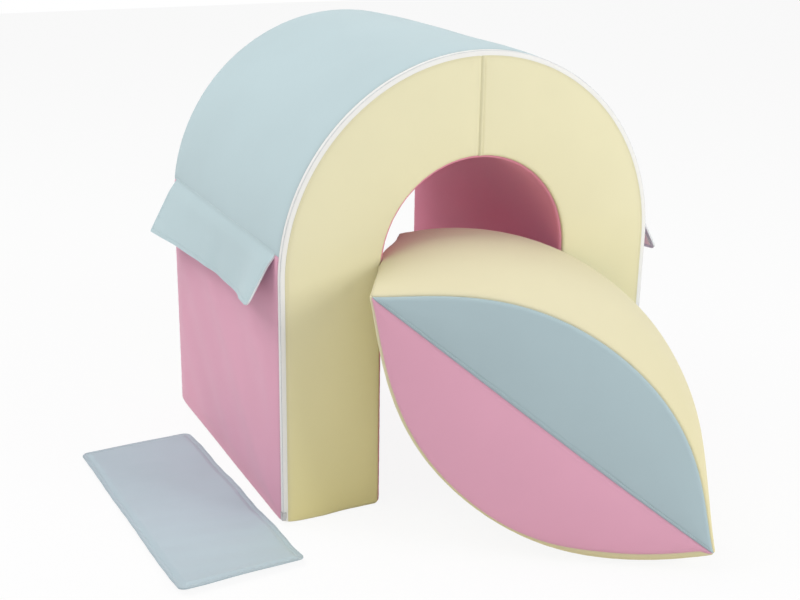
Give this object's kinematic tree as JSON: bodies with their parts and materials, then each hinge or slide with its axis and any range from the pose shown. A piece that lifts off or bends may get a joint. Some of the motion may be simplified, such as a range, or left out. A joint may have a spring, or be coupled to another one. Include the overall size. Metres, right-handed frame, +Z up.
{
  "type": "foam play block",
  "caption": "Soft foam arch with a tunnel, a lens-shaped rocker block leaning in its mouth and a flat fabric joining strip, all in sewn zipped covers.",
  "frame": {"origin": "middle of the set's plan, on the floor", "axes": "+Z up, the tunnel runs along Y with the zipped front face towards -Y, +X to the right seen from the front"},
  "size_m": [0.854, 0.8496, 0.662],
  "materials": {
    "cover_blue": "soft matte coated fabric, pale blue",
    "cover_pink": "soft matte coated fabric, pink",
    "cover_yellow": "soft matte coated fabric, pale yellow",
    "zip_tape": "white woven tape",
    "zip_coil": "grey nylon coil",
    "zip_slider": "painted die-cast runner",
    "hook_band": "hook-and-loop band",
    "foam": "open-cell polyurethane foam"
  },
  "bodies": {
    "arch": {"arch_foam_core": "foam", "arch_roof_panel": "cover_blue", "arch_side_panel_left": "cover_pink", "arch_side_panel_right": "cover_pink", "arch_front_panel_left": "cover_yellow", "arch_front_panel_right": "cover_yellow", "arch_back_panel_left": "cover_yellow", "arch_back_panel_right": "cover_yellow", "arch_tunnel_lining": "cover_pink", "arch_sole_left": "cover_yellow", "arch_sole_right": "cover_yellow", "arch_zip_tape_front": "zip_tape", "arch_zip_tape_side": "zip_tape", "arch_zip_coil": "zip_coil"},
    "left_flap": {"left_flap_outer": "cover_blue", "left_flap_lining": "cover_blue", "left_flap_hook_band": "hook_band"},
    "right_flap": {"right_flap_outer": "cover_blue", "right_flap_lining": "cover_blue", "right_flap_hook_band": "hook_band"},
    "arch_slider": {"arch_zip_slider": "zip_slider"},
    "rocker": {"rocker_foam_core": "foam", "rocker_near_face_upper": "cover_blue", "rocker_near_face_lower": "cover_pink", "rocker_far_face_upper": "cover_blue", "rocker_far_face_lower": "cover_pink", "rocker_upper_rim": "cover_yellow", "rocker_lower_rim": "cover_yellow", "rocker_zip_tape_face": "zip_tape", "rocker_zip_tape_rim": "zip_tape", "rocker_zip_coil": "zip_coil"},
    "rocker_slider": {"rocker_zip_slider": "zip_slider"},
    "strip": {"strip_top_fabric": "cover_blue", "strip_bottom_fabric": "cover_blue", "strip_insert": "foam", "strip_hook_band_left": "hook_band", "strip_hook_band_right": "hook_band"}
  },
  "joints": [
    {"name": "left_flap_hinge", "type": "hinge", "parent": "arch", "child": "left_flap", "pos_m": [-0.21655, 0.18484, 0.40027], "axis": [0, 1, 0], "range_deg": [-12, 120], "stiffness_Nm_per_rad": 0.01, "springref_deg": 4.94},
    {"name": "right_flap_hinge", "type": "hinge", "parent": "arch", "child": "right_flap", "pos_m": [0.38288, 0.18484, 0.40027], "axis": [0, -1, 0], "range_deg": [-12, 120], "stiffness_Nm_per_rad": 0.01, "springref_deg": 4.94},
    {"name": "arch_zip_slide", "type": "slide", "parent": "arch", "child": "arch_slider", "axis": [0, 0, 1], "range_m": [0, 0.34]},
    {"name": "rocker_roll", "type": "hinge", "parent": "arch", "child": "rocker", "pos_m": [0.17971, -0.37095, 0.37475], "axis": [-0.527, -0.8499, 0], "range_deg": [0, 73]},
    {"name": "rocker_zip_run", "type": "hinge", "parent": "rocker", "child": "rocker_slider", "pos_m": [0.33042, -0.12788, 0.37475], "axis": [0.527, 0.8499, 0], "range_deg": [0, 92]},
    {"name": "strip_lift", "type": "slide", "parent": "arch", "child": "strip", "axis": [-0.8, 0, 0.6], "range_m": [0, 0.6]}
  ]
}
